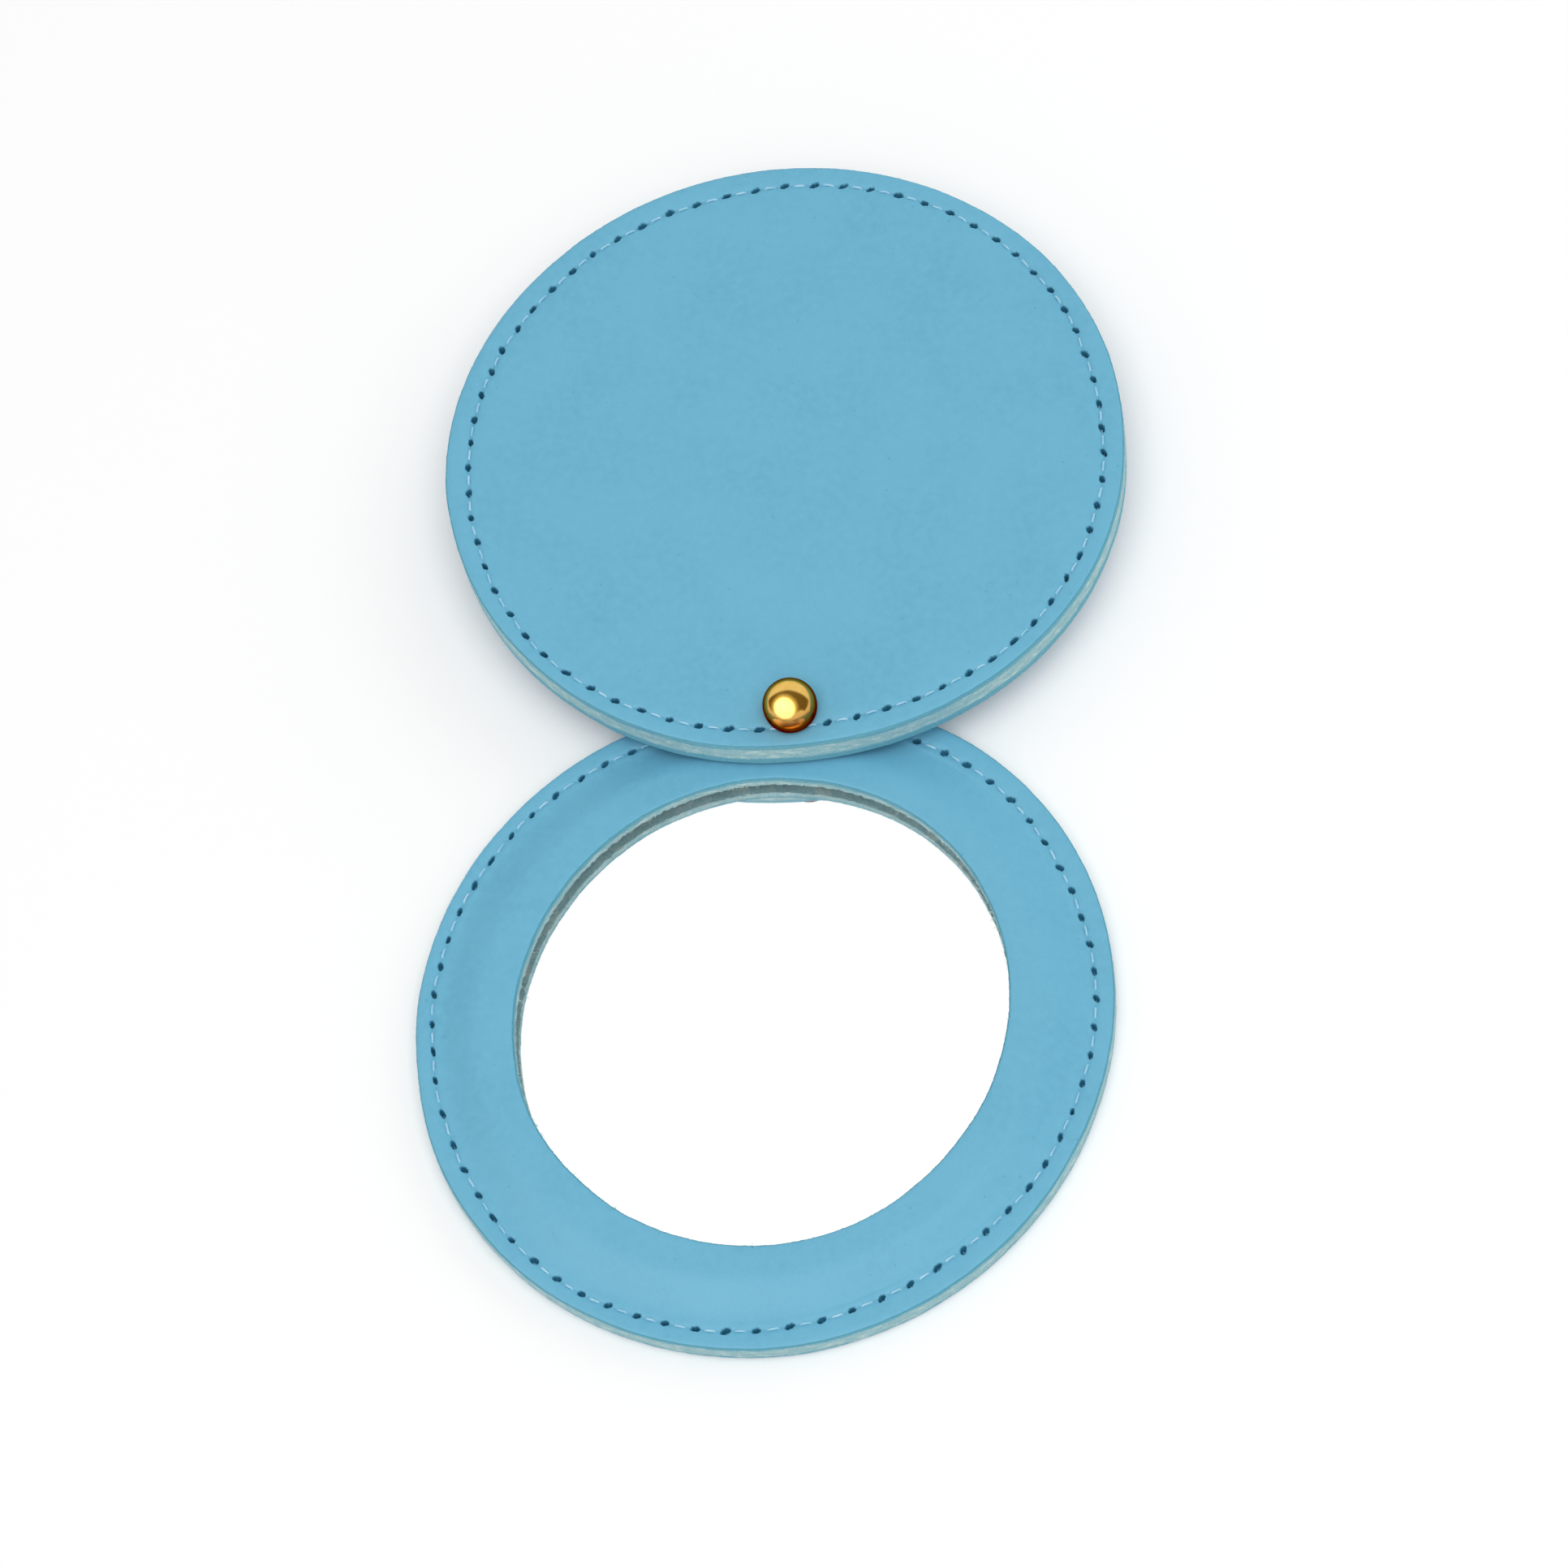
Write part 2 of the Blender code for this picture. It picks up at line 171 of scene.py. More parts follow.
# The seams and edges of hand-fed work are never true circles: how far out they lie in mm, at every
# 15 degrees round the disc from the rivet
COVER_SEAM_WANDER = (
    -0.25, -0.24, 0.48, 0.91, 0.71, 0.41, -0.08, -0.26, -0.17, -0.18, -0.13, -0.24,
    -0.46, -0.53, -0.33, -0.13, 0.12, 0.15, 0.01, 0.11, 0.32, 0.39, 0.11, -0.03)
COVER_EDGE_WANDER = (
    -0.14, 0.07, 0.33, 0.60, 0.65, 0.45, 0.10, -0.01, -0.05, -0.12, -0.17, -0.10,
    -0.05, 0.06, 0.17, 0.23, 0.40, 0.50, 0.47, 0.17, -0.01, -0.12, -0.10, -0.01)
CASE_SEAM_WANDER = (
    0.30, 0.15, 0.14, 0.39, 0.43, 0.39, 0.16, -0.14, -0.16, 0.07, 0.50, 0.38,
    0.26, 0.06, -0.40, -0.55, -0.31, -0.33, -0.07, 0.01, 0.11, 0.43, 0.65, 0.50)
CASE_EDGE_WANDER = (
    0.50, 0.30, 0.15, 0.00, -0.17, -0.26, -0.30, -0.43, -0.12, -0.04, 0.08, 0.11,
    0.18, 0.20, 0.02, -0.18, -0.35, -0.40, -0.22, 0.00, 0.33, 0.64, 0.88, 0.75)
WINDOW_WANDER = (
    0.42, 0.26, 0.02, -0.28, -0.57, -0.67, -0.58, -0.54, -0.35, -0.41, -0.42, -0.27,
    -0.12, -0.04, -0.09, -0.36, -0.52, -0.55, -0.51, -0.35, -0.12, 0.28, 0.50, 0.55)

# Stitches bunch and spread: degrees round the disc, and how far on in mm they lie there
COVER_STITCH_DRIFT = (
    (6, 2.1), (27, 2.1), (37, 1.65), (47, 1.3), (57, 0.9), (72, 0.55), (104, 0.65), (115, 0.67),
    (130, 0.32), (146, 0.2), (162, 0.25), (184, 0.66), (206, 1.27), (217, 1.35), (232, 1.14),
    (247, 0.73), (263, 0.4), (284, 0.24), (300, 0.6), (316, 0.85), (338, 1.05), (354, 1.15))
CASE_STITCH_DRIFT = (
    (0, 1.2), (31, 0.89), (41, 0.66), (62, 0.9), (79, 1.31), (106, 1.46), (119, 2.9), (134, 2.71),
    (145, 2.86), (166, 2.47), (186, 2.12), (208, 2.41), (245, 2.26), (287, 2.23), (324, 1.97),
    (334, 1.6))

# How finely round forms are divided
FINE = STITCH_COUNT * 24        # points of the finest rings
ROUND_STEPS = 5
GRAIN_STEPS = 2                 # steps of a rounded edge that still carry the grain
WALL_STEPS = 6
CUTTER_SEGMENTS = 64
CAP_SEGMENTS = 96
DOME_STEPS = 18
SHARP_ANGLE = math.radians(50)

# Rings of points that a leather is made of: radii in mm, some of them with the number of points
FACE_RINGS = (
    (3, 17), (8, 68), (14, 68), (19, 136), (23, 136), (26, 272), (28.5, 272), (30, 544), (31, 544))
SEAM_RADII = (31.5, 31.8, *np.arange(32.05, 34.0, 0.13), 34.2, 34.45)
BACK_RINGS = ((34.4, 544), (33.4, 272), (32, 136), (29, 68), (12, 17))
SLOPE_RADII = (25.8, 26.6, 27.4, 28.0, 28.4, 28.9, 29.4, 29.9, 30.4, 30.8, 31.2)
RIM_FOOT_RADIUS = 34.3
UNDERSIDE_RADII = (32.6, 31.4, 30.4, 29.4, 28.4, 26.5)
GRAIN, CUT, FLESH, WALL = range(4)  # places of a leather's materials

# Loose fibres along the window's cut, with their lengths in mm
FIBRE_COUNT = 320
FIBRE_SIDES = 4
FIBRE_RINGS = 5
FIBRE_INSET = 0.12              # of their roots in the cut
FIBRE_ROOTS = (0.2, 0.5)        # above the glass
FIBRE_LENGTHS = (0.25, 0.7)
FIBRE_RADII = (0.022, 0.045)
FIBRE_TAPER = 0.75
FIBRE_SLANT = 0.9               # how far their headings differ from straight inward
FIBRE_DROOPS = (-0.2, 0.45)     # of their ends, and below how far they bend, as shares of a length
FIBRE_BEND = 0.35
FIBRE_CLEARANCE = 0.05          # of their ends above the glass
LONG_FIBRES = 0.08              # share of them that are longer
LONG_FIBRE = 1.5                # by this factor


def middle(node):
    low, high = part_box(node)
    return (low + high) / 2


CASE_CENTRE = middle("case_back_leather")
COVER_CENTRE = middle("cover_back_leather")
RIVET_AXIS = middle("rivet_cap")


def disc_place(centre):
    """Frame of a disc: the origin is where its axis meets the floor, and X points at the rivet."""
    bearing = math.atan2(RIVET_AXIS.y - centre.y, RIVET_AXIS.x - centre.x)
    return Matrix.Translation((centre.x, centre.y, 0)) @ Matrix.Rotation(bearing, 4, "Z")


CASE_PLACE = disc_place(CASE_CENTRE)
COVER_PLACE = disc_place(COVER_CENTRE)


# Materials

def linear(code):
    """Linear colour of an sRGB hex value."""
    shares = [int(code[i:i + 2], 16) / 255 for i in (1, 3, 5)]
    return (*[((c + 0.055) / 1.055) ** 2.4 if c > 0.04045 else c / 12.92 for c in shares], 1.0)


def per(size):
    """Texture scale that gives features of a real size."""
    return 1 / size


def join(tree, node, inputs):
    """Link each input that is another node's output, and set any other on its own socket."""
    for name, value in inputs.items():
        if isinstance(value, bpy.types.NodeSocket):
            tree.links.new(value, node.inputs[name])
        else:
            node.inputs[name].default_value = value


def add(tree, kind, inputs=None, **settings):
    """Add one node with its settings and inputs."""
    made = tree.nodes.new(kind)
    for name, value in settings.items():
        setattr(made, name, value)
    join(tree, made, inputs or {})
    return made


def new_material(name):
    material = bpy.data.materials.new(name)
    material.use_nodes = True
    tree = material.node_tree
    shader = tree.nodes["Principled BSDF"]
    place = add(tree, "ShaderNodeTexCoord").outputs["Object"]
    return material, tree, shader, place


def blend(tree, share, first, second):
    """Mix of two colours by a share from 0 to 1."""
    made = add(tree, "ShaderNodeMix", {0: share, 6: first, 7: second}, data_type="RGBA")
    return made.outputs[2]


def span(tree, value, low, high, to_low=0.0, to_high=1.0, smooth=False):
    """Value moved from one range to another, and held inside it."""
    made = add(
        tree, "ShaderNodeMapRange", {0: value, 1: low, 2: high, 3: to_low, 4: to_high},
        interpolation_type="SMOOTHSTEP" if smooth else "LINEAR")
    return made.outputs[0]


def maths(tree, operation, *values):
    made = add(tree, "ShaderNodeMath", dict(enumerate(values)), operation=operation)
    return made.outputs[0]


def calf_grain():
    """Calf leather, dyed sky blue and finished smooth.

    The pigment hides most of the grain: what is left is a faint net of pores, soft clouds where the
    finish went on thicker, and a few darker specks. The finish is satin, so light spreads wide.
    Down the walls of the stitch holes the colour darkens with depth below the face: painted shade.
    """
    material, tree, shader, place = new_material("dyed_calf_grain")
    clouds = add(tree, "ShaderNodeTexNoise", {"Vector": place, "Scale": per(9 * MM), "Detail": 3.0})
    mottle = add(tree, "ShaderNodeTexNoise", {"Vector": place, "Scale": per(0.9 * MM), "Detail": 4.0})
    cells = add(
        tree, "ShaderNodeTexVoronoi", {"Vector": place, "Scale": per(0.42 * MM), "Randomness": 1.0},
        feature="DISTANCE_TO_EDGE")
    specks = add(tree, "ShaderNodeTexVoronoi", {"Vector": place, "Scale": per(2.6 * MM)})
    fine = add(tree, "ShaderNodeTexNoise", {"Vector": place, "Scale": per(0.16 * MM), "Detail": 2.0})
    cloud_share = span(tree, clouds.outputs["Fac"], 0.3, 0.7)
    colour = blend(tree, cloud_share, linear("#62ABC9"), linear("#69B2CF"))
    mottle_share = span(tree, mottle.outputs["Fac"], 0.3, 0.75)
    colour = blend(tree, mottle_share, colour, linear("#6BB4D1"))
    crease = span(tree, cells.outputs["Distance"], 0.0, 0.10, 0.10, 0.0)
    colour = blend(tree, crease, colour, linear("#4F9DBF"))
    speck = span(tree, specks.outputs["Distance"], 0.035, 0.06, 0.35, 0.0)
    colour = blend(tree, speck, colour, linear("#3F87A8"))
    # Painted shade: the walls of the stitch holes are darkened by their depth below the face
    hole_shade_noise = add(tree, "ShaderNodeTexNoise", {"Vector": place, "Scale": per(0.2 * MM), "Detail": 3.0})
    hole_shade_share = span(tree, hole_shade_noise.outputs["Fac"], 0.35, 0.7)
    hole_painted_shade = blend(tree, hole_shade_share, linear("#216A8A"), linear("#3987A6"))
    depth = add(tree, "ShaderNodeAttribute", attribute_name=DEPTH_MARK).outputs["Fac"]
    colour = blend(tree, span(tree, depth, HOLE_SHADE_FROM, HOLE_SHADE_FULL), colour, hole_painted_shade)
    rough = span(tree, mottle.outputs["Fac"], 0.3, 0.7, 0.55, 0.63)
    pore = span(tree, cells.outputs["Distance"], 0.0, 0.22, smooth=True)
    height = maths(tree, "MULTIPLY_ADD", fine.outputs["Fac"], 0.55, pore)
    bump = add(tree, "ShaderNodeBump", {"Height": height, "Distance": 0.005 * MM, "Strength": 1.0})
    join(tree, shader, {
        "Base Color": colour, "Roughness": rough, "IOR": 1.42, "Normal": bump.outputs["Normal"]})
    return material


def cut_edge(name, grain_height, dyed_depth):
    """Cut edge of dyed calf leather, left unpainted.

    The dye reaches a short way in from the grain side, so a teal line runs there, darkened at the
    skin by painted shade of the rounded edge. The rest is the pale grey-green of the tanned fibres,
    with brighter tufts, dry and matt.
    """
    material, tree, shader, place = new_material(name)
    height = add(tree, "ShaderNodeSeparateXYZ", {0: place}).outputs["Z"]
    wander = add(tree, "ShaderNodeTexNoise", {"Vector": place, "Scale": per(2.4 * MM), "Detail": 4.0})
    fibre_place = add(tree, "ShaderNodeMapping", {"Vector": place, "Scale": (1.0, 1.0, 2.6)})
    fibre = add(
        tree, "ShaderNodeTexNoise",
        {"Vector": fibre_place.outputs[0], "Scale": per(0.24 * MM), "Detail": 5.0, "Roughness": 0.65})
    tufts = add(
        tree, "ShaderNodeTexNoise",
        {"Vector": fibre_place.outputs[0], "Scale": per(1.5 * MM), "Detail": 4.0, "Roughness": 0.6})
    shift = maths(tree, "MULTIPLY_ADD", wander.outputs["Fac"], 0.7 * MM, -0.35 * MM)
    quick_shift = maths(tree, "MULTIPLY_ADD", fibre.outputs["Fac"], 0.24 * MM, -0.12 * MM)
    shift = maths(tree, "ADD", shift, quick_shift)
    depth = maths(tree, "ABSOLUTE", maths(tree, "SUBTRACT", height, grain_height))
    ragged = maths(tree, "ADD", depth, shift)
    core_share = span(tree, fibre.outputs["Fac"], 0.32, 0.68)
    core = blend(tree, core_share, linear("#84B9C4"), linear("#AED2D6"))
    tuft_share = span(tree, tufts.outputs["Fac"], 0.50, 0.68, 0.0, 0.7)
    core = blend(tree, tuft_share, core, linear("#D8E8E4"))
    dyed_share = span(tree, fibre.outputs["Fac"], 0.35, 0.7)
    dyed = blend(tree, dyed_share, linear("#5AA6BC"), linear("#76B8C8"))
    # Painted shade: darker teal within a few tenths of a millimetre of the face, where the edge is
    # rounded
    dyed = blend(tree, span(tree, depth, 0.1 * MM, 0.26 * MM), linear("#4A97B0"), dyed)
    share = span(tree, ragged, dyed_depth - 0.2 * MM, dyed_depth + 0.2 * MM, smooth=True)
    colour = blend(tree, share, dyed, core)
    bump = add(
        tree, "ShaderNodeBump",
        {"Height": fibre.outputs["Fac"], "Distance": 0.06 * MM, "Strength": 1.0})
    join(tree, shader, {"Base Color": colour, "Roughness": 0.82, "Normal": bump.outputs["Normal"]})
    return material


def calf_flesh():
    """Flesh side of the calf leather: a short pale nap with no finish, matt and slightly uneven."""
    material, tree, shader, place = new_material("calf_flesh_side")
    nap = add(tree, "ShaderNodeTexNoise", {"Vector": place, "Scale": per(0.18 * MM), "Detail": 5.0})
    patches = add(tree, "ShaderNodeTexNoise", {"Vector": place, "Scale": per(4 * MM), "Detail": 2.0})
    colour = blend(tree, nap.outputs["Fac"], linear("#CFE0DE"), linear("#F2F7F5"))
    patch_share = span(tree, patches.outputs["Fac"], 0.4, 0.7, 0.0, 0.4)
    colour = blend(tree, patch_share, colour, linear("#DCE9E7"))
    bump = add(tree, "ShaderNodeBump", {"Height": nap.outputs["Fac"], "Distance": 0.06 * MM})
    join(tree, shader, {"Base Color": colour, "Roughness": 0.9, "Normal": bump.outputs["Normal"]})
    return material


def spun_thread():
    """Spun polyester sewing thread, three plies: light blue, with the soft shine of fine fibres."""
    material, tree, shader, place = new_material("spun_polyester_thread")
    fibre = add(tree, "ShaderNodeTexNoise", {"Vector": place, "Scale": per(0.07 * MM), "Detail": 3.0})
    tone = add(tree, "ShaderNodeTexNoise", {"Vector": place, "Scale": per(1.6 * MM)})
    colour = blend(tree, fibre.outputs["Fac"], linear("#78BBD9"), linear("#A2D5EA"))
    pale_share = span(tree, tone.outputs["Fac"], 0.4, 0.7, 0.0, 0.45)
    colour = blend(tree, pale_share, colour, linear("#C8E8F4"))
    bump = add(tree, "ShaderNodeBump", {"Height": fibre.outputs["Fac"], "Distance": 0.01 * MM})
    join(tree, shader, {
        "Base Color": colour, "Roughness": 0.38, "Sheen Weight": 0.2, "Sheen Roughness": 0.4,
        "Normal": bump.outputs["Normal"]})
    return material


def loose_fibre():
    """Loose leather fibres along a cut: pale, dry and matt."""
    material, tree, shader, place = new_material("loose_leather_fibre")
    tone = add(tree, "ShaderNodeTexNoise", {"Vector": place, "Scale": per(0.5 * MM)})
    tone_share = span(tree, tone.outputs["Fac"], 0.35, 0.65)
    colour = blend(tree, tone_share, linear("#A9CCC9"), linear("#E6F2EE"))
    join(tree, shader, {"Base Color": colour, "Roughness": 0.8})
    return material


def float_glass():
    """Float glass, polished on both faces: clear, with the faint green of its iron."""
    material, tree, shader, place = new_material("polished_float_glass")
    ream = add(tree, "ShaderNodeTexNoise", {"Vector": place, "Scale": per(22 * MM)})
    colour = blend(tree, ream.outputs["Fac"], linear("#FEFFFF"), linear("#FFFFFF"))
    join(tree, shader, {
        "Base Color": colour, "Roughness": 0.0, "IOR": 1.52, "Transmission Weight": 1.0})
    return material


def silver_coat():
    """Chemically laid silver behind the glass: a smooth, nearly white metal."""
    material, tree, shader, place = new_material("chemically_laid_silver")
    cloud = add(tree, "ShaderNodeTexNoise", {"Vector": place, "Scale": per(12 * MM)})
    colour = blend(tree, cloud.outputs["Fac"], linear("#FEFEFE"), linear("#FFFFFF"))
    join(tree, shader, {"Base Color": colour, "Metallic": 1.0, "Roughness": 0.0})
    return material


def polished_brass(name, foot):
    """Brass, stamped and barrel polished: warm yellow, glossy, with hair scratches from tumbling.

    Towards its foot it is painted brown, standing in for the dark reflection of the shaded leather
    round it.
    """
    material, tree, shader, place = new_material(name)
    height = add(tree, "ShaderNodeSeparateXYZ", {0: place}).outputs["Z"]
    haze = add(tree, "ShaderNodeTexNoise", {"Vector": place, "Scale": per(1.2 * MM), "Detail": 3.0})
    scratch_place = add(
        tree, "ShaderNodeMapping",
        {"Vector": place, "Rotation": (0.3, 0.2, 0.7), "Scale": (1.0, 14.0, 5.0)})
    scratch = add(
        tree, "ShaderNodeTexNoise",
        {"Vector": scratch_place.outputs[0], "Scale": per(1.5 * MM), "Detail": 4.0})
    haze_share = span(tree, haze.outputs["Fac"], 0.35, 0.7)
    colour = blend(tree, haze_share, linear("#E6BC62"), linear("#F0C974"))
    # Painted dark reflection: brown at the foot, easing to yellow higher up
    yellow_share = span(tree, height, foot, foot + PAINTED_DARK_FADE, smooth=True)
    colour = blend(tree, yellow_share, linear("#BE6426"), colour)
    rough = span(tree, haze.outputs["Fac"], 0.3, 0.7, 0.14, 0.20)
    bump = add(tree, "ShaderNodeBump", {"Height": scratch.outputs["Fac"], "Distance": 0.001 * MM})
    join(tree, shader, {
        "Base Color": colour, "Metallic": 1.0, "Roughness": rough,
        "Specular Tint": linear("#CC2800"), "Normal": bump.outputs["Normal"]})
    return material


def plated_steel():
    """Mild steel, drawn into a tube and nickel plated: grey, with lines along the draw."""
    material, tree, shader, place = new_material("nickel_plated_steel")
    lines_place = add(tree, "ShaderNodeMapping", {"Vector": place, "Scale": (8.0, 8.0, 1.0)})
    lines = add(
        tree, "ShaderNodeTexNoise", {"Vector": lines_place.outputs[0], "Scale": per(1.5 * MM)})
    colour = blend(tree, lines.outputs["Fac"], linear("#B9B6AE"), linear("#CFCCC4"))
    rough = span(tree, lines.outputs["Fac"], 0.3, 0.7, 0.22, 0.36)
    join(tree, shader, {"Base Color": colour, "Metallic": 1.0, "Roughness": rough})
    return material


def painted_table():
    """Board painted matt white. Far from the object it looks a little lighter to the camera."""
    material, tree, shader, place = new_material("matt_white_board")
    tone = add(tree, "ShaderNodeTexNoise", {"Vector": place, "Scale": per(60 * MM)})
    colour = blend(tree, tone.outputs["Fac"], linear("#FCFCFC"), linear("#FDFDFD"))
    path = add(tree, "ShaderNodeLightPath")
    far = add(tree, "ShaderNodeVectorMath", {0: place}, operation="LENGTH").outputs["Value"]
    lift = span(tree, far, 0.2, 1.6, 0.05, 0.5)
    lift = maths(tree, "MULTIPLY", path.outputs["Is Camera Ray"], lift)
    join(tree, shader, {
        "Base Color": colour, "Roughness": 1.0, "Specular IOR Level": 0.0,
        "Emission Color": linear("#FFFFFF"), "Emission Strength": lift})
    return material


# Shapes

def bridge(outer, inner, faces, slots, slot):
    """Faces between two rings, where one has a whole number of times the points of the other."""
    many, few, flip = (outer, inner, False) if len(outer) >= len(inner) else (inner, outer, True)
    count = len(few)
    times = len(many) // count
    half = times // 2
    for i in range(count):
        here = few[i]
        following = few[(i + 1) % count]
        piece = [many[(i * times + j) % len(many)] for j in range(times + 1)]
        if times == 1:
            made = [(here, piece[0], piece[1], following)]
        elif count == 1:
            made = [(here, piece[j], piece[j + 1]) for j in range(times)]
        else:
            made = [(here, piece[j], piece[j + 1]) for j in range(half)]
            made.append((here, piece[half], following))
            made += [(following, piece[j], piece[j + 1]) for j in range(half, times)]
        faces += [face[::-1] for face in made] if flip else made
        slots += [slot] * len(made)


def new_piece(name, points, faces, place, materials):
    """New object of points and faces, moved from the axis of its disc to its place."""
    data = bpy.data.meshes.new(name)
    data.from_pydata(points, [], faces)
    data.transform(place)
    for material in materials:
        data.materials.append(material)
    data.shade_smooth()
    item = bpy.data.objects.new(name, data)
    bpy.context.scene.collection.objects.link(item)
    return item


def turned_skin(name, rings, relief, place, materials, loop=False, flipped=False):
    """Closed skin turned about a disc's axis.

    A ring is (radius, height, points, slot), from the axis out over the face, down the edge and back
    underneath. relief moves the points of one ring, given their radii, heights and angles.
    """
    points = []
    sunk = []
    faces = []
    slots = []
    before = None
    first = None
    for radius, height, count, slot in rings:
        angles = np.arange(count) * math.tau / count
        radii, heights = relief(np.full(count, radius), np.full(count, height), angles)
        start = len(points)
        points += zip(radii * np.cos(angles), radii * np.sin(angles), heights)
        sunk += list(np.abs(heights - height))
        ring = list(range(start, start + count))
        if before:
            bridge(ring, before, faces, slots, slot)
        before = ring
        first = first or ring
    if loop:
        bridge(first, before, faces, slots, rings[0][3])
    if flipped:
        faces = [face[::-1] for face in faces]
    item = new_piece(name, points, faces, place, materials)
    item.data.polygons.foreach_set("material_index", slots)
    item.data.attributes.new(DEPTH_MARK, "FLOAT", "POINT").data.foreach_set("value", sunk)
    item.data.update()
    item.data.set_sharp_from_angle(angle=SHARP_ANGLE)
    return item


def waver(angles, seed, lowest, highest, steepness=0.5):
    """Smooth closed wander of about -1 to 1 round a disc, from waves of many lengths."""
    rng = np.random.default_rng(seed)
    total = np.zeros_like(angles)
    weight = 0.0
    for waves in np.unique(np.round(np.geomspace(lowest, highest, 14)).astype(int)):
        share = (lowest / waves) ** steepness
        total += share * np.cos(waves * angles + rng.uniform(0, math.tau))
        weight += share * share
    return total / math.sqrt(2 * weight)


def smooth(value):
    value = np.clip(value, 0.0, 1.0)
    return value * value * (3 - 2 * value)


def wander(angles, table):
    """Wander of a circle at each angle, eased from one value of its table to the next."""
    spot = np.asarray(angles) / math.tau * len(table)
    before = np.floor(spot).astype(int)
    share = spot - before
    around = [np.take(table, before + step, mode="wrap") for step in (-1, 0, 1, 2)]
    rise = (around[2] - around[0]) / 2
    fall = (around[3] - around[1]) / 2
    bend = 2 * (around[1] - around[2]) + rise + fall
    lift = 3 * (around[2] - around[1]) - 2 * rise - fall
    return MM * (((bend * share + lift) * share + rise) * share + around[1])


def out_of_round(radii, angles, seam_table, edge_table):
    """How far out from its true circle a point lies: none inside, and more to the seam and the edge."""
    to_seam = np.clip((radii - TRUE_RADIUS) / (STITCH_RADIUS - TRUE_RADIUS), 0, 1)
    to_edge = np.clip((radii - STITCH_RADIUS) / STITCH_INSET, 0, 1)
    return (to_seam - to_edge) * wander(angles, seam_table) + to_edge * wander(angles, edge_table)


def fibre_layer(heights):
    """Number of the layer of fibres that a ring of points lies in."""
    return int(round(float(heights[0]) / FIBRE_LAYER))


def edge_drift(radii, heights, angles, wanders, seed):
    """How far out a ring of points lies: the wander of its disc, and the waver of a cut rim."""
    rim = smooth((radii - (DISC_RADIUS - RIM_WIDTH)) / RIM_WIDTH)
    out = out_of_round(radii, angles, *wanders)
    out += RIM_WAVER * waver(angles, seed + 5, *RIM_WAVES) * rim
    out += FIBRE_WAVER * waver(angles, seed * 31 + fibre_layer(heights), *FIBRE_WAVES) * rim
    return out


class Seam:
    """Where the stitches of one disc lie, and how a leather gives round the holes and the thread."""

    def __init__(self, seed, drift):
        rng = np.random.default_rng(seed)

        def scatter():
            return rng.standard_normal(STITCH_COUNT).clip(-2, 2)

        self.seed = seed
        self.drift = np.array(drift)
        self.slant = np.radians(HOLE_SLANT + SLANT_SPREAD * scatter())
        self.along = ALONG_SPREAD * scatter()
        self.across = ACROSS_SPREAD * scatter()
        self.half_length = HOLE_HALF_LENGTH * (1 + LENGTH_SPREAD * scatter())
        self.half_width = HOLE_HALF_WIDTH * (1 + WIDTH_SPREAD * scatter())

    def slip(self, angles):
        """Angle by which the stitches lie on from even places."""
        drift = np.interp(np.degrees(angles), self.drift[:, 0], self.drift[:, 1], period=360)
        return drift * MM / STITCH_RADIUS

    def between(self, values, even):
        """A value of each stitch, eased from one stitch to the next."""
        number = even / STITCH_TURN - 0.5
        return np.interp(number, np.arange(STITCH_COUNT), values, period=STITCH_COUNT)

    def drop(self, radii, angles, depth):
        """How far below the plain face the leather lies."""
        even = angles - self.slip(angles)
        index = np.floor(even / STITCH_TURN).astype(int)
        along = (even - (index + 0.5) * STITCH_TURN) * STITCH_RADIUS
        index %= STITCH_COUNT
        off_line = radii - STITCH_RADIUS
        along = along - self.along[index]
        across = off_line - self.across[index]
        turn = self.slant[index]
        long = along * np.cos(turn) + across * np.sin(turn)
        wide = across * np.cos(turn) - along * np.sin(turn)
        reach = np.sqrt((long / self.half_length[index]) ** 2 + (wide / self.half_width[index]) ** 2)
        hole = depth * (1 - smooth((reach - HOLE_FLOOR) / HOLE_WALL))
        away = np.sqrt(along ** 2 + (DIMPLE_SQUASH * across) ** 2)
        dimple = DIMPLE_DEPTH * np.exp(-(away / DIMPLE_RADIUS) ** 2)
        off_thread = off_line - self.between(self.across, even) + self.sway(angles)
        run = smooth((np.abs(along) - CHANNEL_START) / CHANNEL_RUN)
        channel = CHANNEL_DEPTH * run * np.exp(-(off_thread / CHANNEL_HALF_WIDTH) ** 2)
        sink = SEAM_SINK * np.exp(-(off_line / SEAM_SINK_HALF_WIDTH) ** 2)
        return hole + dimple + channel + sink

    def sway(self, angles):
        """Slight sideways sway of the thread between its holes."""
        return THREAD_SWAY * waver(angles, self.seed + 1, *SWAY_WAVES)


def quarter_turn(steps):
    """Angles of even steps through a quarter of a turn."""
    return [step * math.pi / 2 / steps for step in range(1, steps + 1)]


def edge_rings(face, back, down):
    """Rings from the face over the rounded edge and down the cut wall to the glued side."""
    rings = []
    for step, turn in enumerate(quarter_turn(ROUND_STEPS), start=1):
        radius = DISC_RADIUS - EDGE_ROUNDING * (1 - math.sin(turn))
        height = face - down * EDGE_ROUNDING * (1 - math.cos(turn))
        rings.append((radius, height, FINE, GRAIN if step <= GRAIN_STEPS else CUT))
    low = back + down * ARRIS
    high = face - down * EDGE_ROUNDING
    for step in range(1, WALL_STEPS + 1):
        rings.append((DISC_RADIUS, high + (low - high) * step / WALL_STEPS, FINE, CUT))
    rings.append((DISC_RADIUS - ARRIS, back, FINE, CUT))
    return rings


